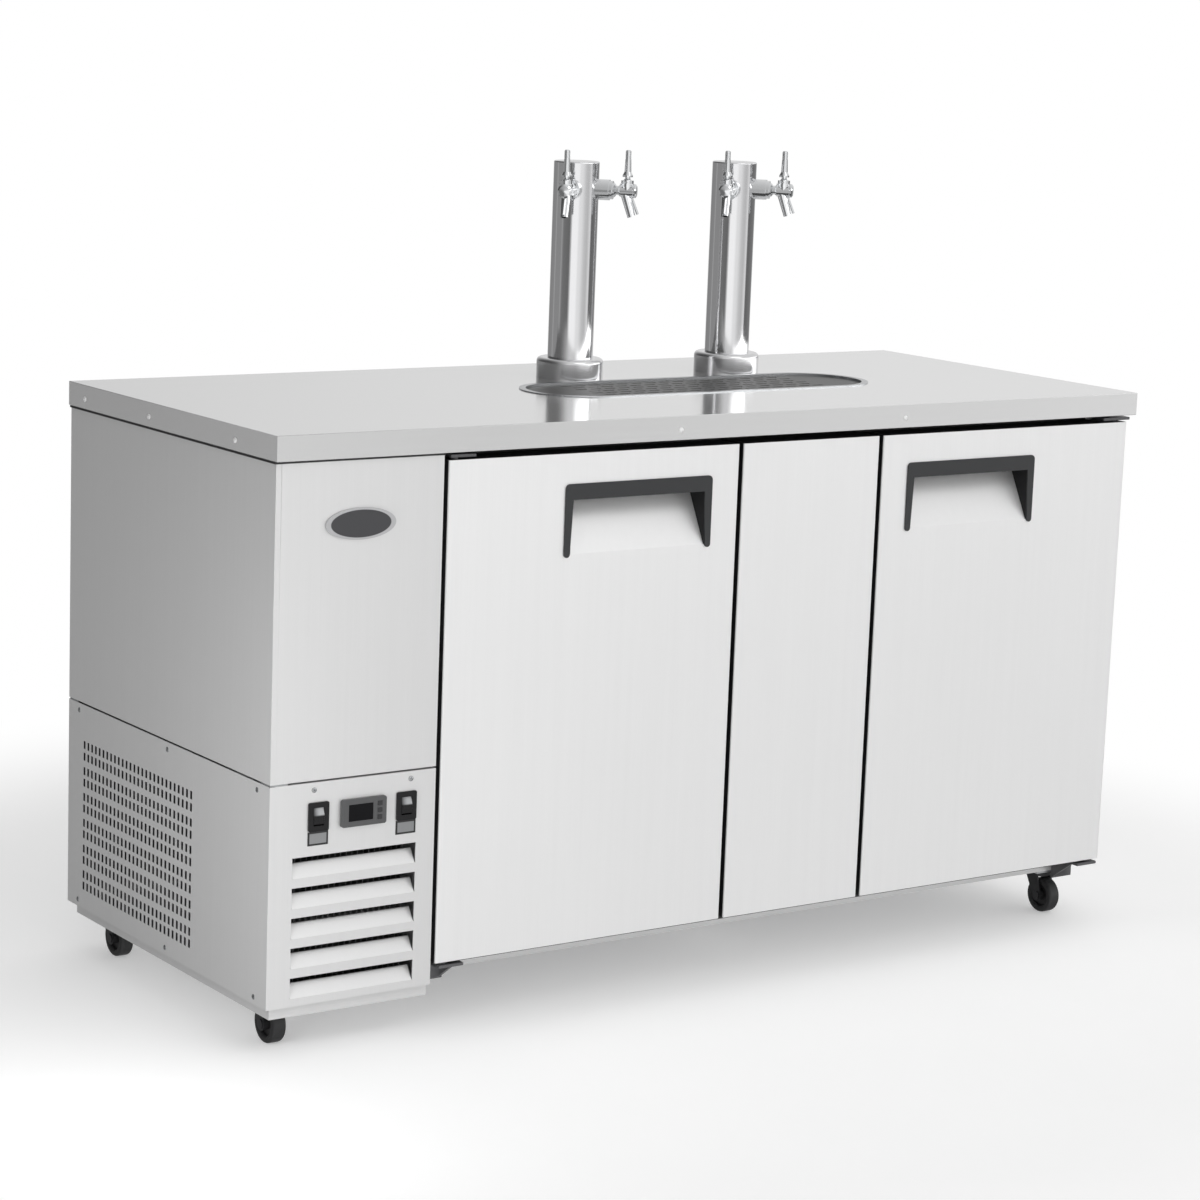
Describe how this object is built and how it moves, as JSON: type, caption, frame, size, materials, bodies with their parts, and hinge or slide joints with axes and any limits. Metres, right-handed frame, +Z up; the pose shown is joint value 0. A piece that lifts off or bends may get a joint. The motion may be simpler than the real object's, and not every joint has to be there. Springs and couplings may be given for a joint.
{
  "type": "keg cooler",
  "caption": "Stainless two-door keg cooler on swivel casters, with draft towers, lever faucets and a sunk drip tray on its worktop and a louvred machine compartment at one end.",
  "frame": {"origin": "on the floor under the middle of the worktop", "axes": "+X to the right seen from the front, along the length; +Y to the back; +Z up"},
  "size_m": [1.758, 0.714, 1.3825],
  "materials": {
    "stainless_sheet": "brushed",
    "galvanised_sheet": "satin",
    "liner": "satin",
    "frame_steel": "satin",
    "tray_steel": "brushed",
    "bright_steel": "polished",
    "chrome": "polished",
    "screw_steel": "satin",
    "handle_plastic": "matte",
    "black_plastic": "satin",
    "window_plastic": "gloss",
    "key_plastic": "matte",
    "gasket_rubber": "matte",
    "caster_steel": "satin",
    "caster_wheel": "satin",
    "compressor_paint": "gloss",
    "coil_fins": "satin",
    "fan_plastic": "matte"
  },
  "bodies": {
    "cabinet": {"worktop": "stainless_sheet", "ceiling_panel": "liner", "floor_panel": "liner", "back_panel": "galvanised_sheet", "right_side_panel": "stainless_sheet", "partition_wall": "liner", "centre_post": "stainless_sheet", "base_frame": "frame_steel", "corner_posts": "frame_steel", "upper_side_panel": "stainless_sheet", "vent_side_panel": "stainless_sheet", "upper_front_panel": "stainless_sheet", "louvre_panel": "stainless_sheet", "rear_grille": "galvanised_sheet", "cord_gland": "black_plastic", "badge_plate": "handle_plastic", "controller_case": "black_plastic", "controller_window": "window_plastic", "switch_frames": "black_plastic", "machine_tray": "galvanised_sheet", "compressor": "compressor_paint", "condenser_coil": "coil_fins", "fan_shroud": "fan_plastic", "evaporator_coil": "coil_fins", "evaporator_cover": "liner", "drip_tray": "tray_steel", "tower_bases": "bright_steel", "tower_columns": "bright_steel", "tower_caps": "bright_steel", "faucet_shanks": "chrome", "faucet_bodies": "chrome", "caster_plates": "caster_steel", "hinge_brackets": "frame_steel", "panel_screws": "screw_steel"},
    "left_door": {"left_door": "stainless_sheet", "left_handle": "handle_plastic", "left_gasket": "gasket_rubber"},
    "right_door": {"right_door": "stainless_sheet", "right_handle": "handle_plastic", "right_gasket": "gasket_rubber"},
    "condenser_fan": {"condenser_fan": "fan_plastic"},
    "evaporator_fan": {"evaporator_fan": "fan_plastic"},
    "drip_grid": {"drip_grid": "tray_steel"},
    "lever_1": {"lever_1": "chrome"},
    "lever_2": {"lever_2": "chrome"},
    "lever_3": {"lever_3": "chrome"},
    "lever_4": {"lever_4": "chrome"},
    "caster_fork_1": {"caster_fork_1": "caster_steel"},
    "caster_fork_2": {"caster_fork_2": "caster_steel"},
    "caster_fork_3": {"caster_fork_3": "caster_steel"},
    "caster_fork_4": {"caster_fork_4": "caster_steel"},
    "caster_wheel_1": {"caster_wheel_1": "caster_wheel"},
    "caster_wheel_2": {"caster_wheel_2": "caster_wheel"},
    "caster_wheel_3": {"caster_wheel_3": "caster_wheel"},
    "caster_wheel_4": {"caster_wheel_4": "caster_wheel"},
    "rocker_1": {"rocker_1": "black_plastic"},
    "rocker_2": {"rocker_2": "black_plastic"},
    "key_up": {"key_up": "key_plastic"},
    "key_down": {"key_down": "key_plastic"},
    "key_set": {"key_set": "key_plastic"}
  },
  "joints": [
    {"name": "left_door_hinge", "type": "hinge", "parent": "cabinet", "child": "left_door", "pos_m": [-0.552, -0.335, 0.522], "axis": [0, 0, -1], "range_deg": [0, 115]},
    {"name": "right_door_hinge", "type": "hinge", "parent": "cabinet", "child": "right_door", "pos_m": [0.847, -0.335, 0.522], "axis": [0, 0, 1], "range_deg": [0, 115]},
    {"name": "drip_grid_lift", "type": "slide", "parent": "cabinet", "child": "drip_grid", "axis": [0, 0, 1], "range_m": [0, 0.06]},
    {"name": "condenser_fan_spin", "type": "hinge", "parent": "cabinet", "child": "condenser_fan", "pos_m": [-0.7275, -0.226, 0.219], "axis": [0, 1, 0], "continuous": true},
    {"name": "evaporator_fan_spin", "type": "hinge", "parent": "cabinet", "child": "evaporator_fan", "pos_m": [-0.425, 0.074, 0.775], "axis": [1, 0, 0], "continuous": true},
    {"name": "lever_1_tilt", "type": "hinge", "parent": "cabinet", "child": "lever_1", "pos_m": [-0.07435, 0.08765, 1.327], "axis": [0.7071, -0.7071, 0], "range_deg": [0, 25]},
    {"name": "lever_2_tilt", "type": "hinge", "parent": "cabinet", "child": "lever_2", "pos_m": [0.05435, 0.08765, 1.327], "axis": [0.7071, 0.7071, 0], "range_deg": [0, 25]},
    {"name": "lever_3_tilt", "type": "hinge", "parent": "cabinet", "child": "lever_3", "pos_m": [0.27065, 0.08765, 1.327], "axis": [0.7071, -0.7071, 0], "range_deg": [0, 25]},
    {"name": "lever_4_tilt", "type": "hinge", "parent": "cabinet", "child": "lever_4", "pos_m": [0.39935, 0.08765, 1.327], "axis": [0.7071, 0.7071, 0], "range_deg": [0, 25]},
    {"name": "caster_1_swivel", "type": "hinge", "parent": "cabinet", "child": "caster_fork_1", "pos_m": [-0.818, -0.242, 0.07], "axis": [0, 0, 1], "continuous": true},
    {"name": "caster_1_roll", "type": "hinge", "parent": "caster_fork_1", "child": "caster_wheel_1", "pos_m": [-0.818, -0.26, 0.032], "axis": [1, 0, 0], "continuous": true},
    {"name": "caster_2_swivel", "type": "hinge", "parent": "cabinet", "child": "caster_fork_2", "pos_m": [0.818, -0.242, 0.07], "axis": [0, 0, 1], "continuous": true},
    {"name": "caster_2_roll", "type": "hinge", "parent": "caster_fork_2", "child": "caster_wheel_2", "pos_m": [0.818, -0.26, 0.032], "axis": [1, 0, 0], "continuous": true},
    {"name": "caster_3_swivel", "type": "hinge", "parent": "cabinet", "child": "caster_fork_3", "pos_m": [-0.818, 0.29, 0.07], "axis": [0, 0, 1], "continuous": true},
    {"name": "caster_3_roll", "type": "hinge", "parent": "caster_fork_3", "child": "caster_wheel_3", "pos_m": [-0.818, 0.272, 0.032], "axis": [1, 0, 0], "continuous": true},
    {"name": "caster_4_swivel", "type": "hinge", "parent": "cabinet", "child": "caster_fork_4", "pos_m": [0.818, 0.29, 0.07], "axis": [0, 0, 1], "continuous": true},
    {"name": "caster_4_roll", "type": "hinge", "parent": "caster_fork_4", "child": "caster_wheel_4", "pos_m": [0.818, 0.272, 0.032], "axis": [1, 0, 0], "continuous": true},
    {"name": "rocker_1_tip", "type": "hinge", "parent": "cabinet", "child": "rocker_1", "pos_m": [-0.7905, -0.343, 0.384], "axis": [1, 0, 0], "range_deg": [0, 16]},
    {"name": "rocker_2_tip", "type": "hinge", "parent": "cabinet", "child": "rocker_2", "pos_m": [-0.6325, -0.343, 0.384], "axis": [1, 0, 0], "range_deg": [0, 16]},
    {"name": "key_up_press", "type": "slide", "parent": "cabinet", "child": "key_up", "axis": [0, 1, 0], "range_m": [0, 0.0008], "stiffness_N_per_m": 500},
    {"name": "key_set_press", "type": "slide", "parent": "cabinet", "child": "key_set", "axis": [0, 1, 0], "range_m": [0, 0.0008], "stiffness_N_per_m": 500},
    {"name": "key_down_press", "type": "slide", "parent": "cabinet", "child": "key_down", "axis": [0, 1, 0], "range_m": [0, 0.0008], "stiffness_N_per_m": 500}
  ]
}
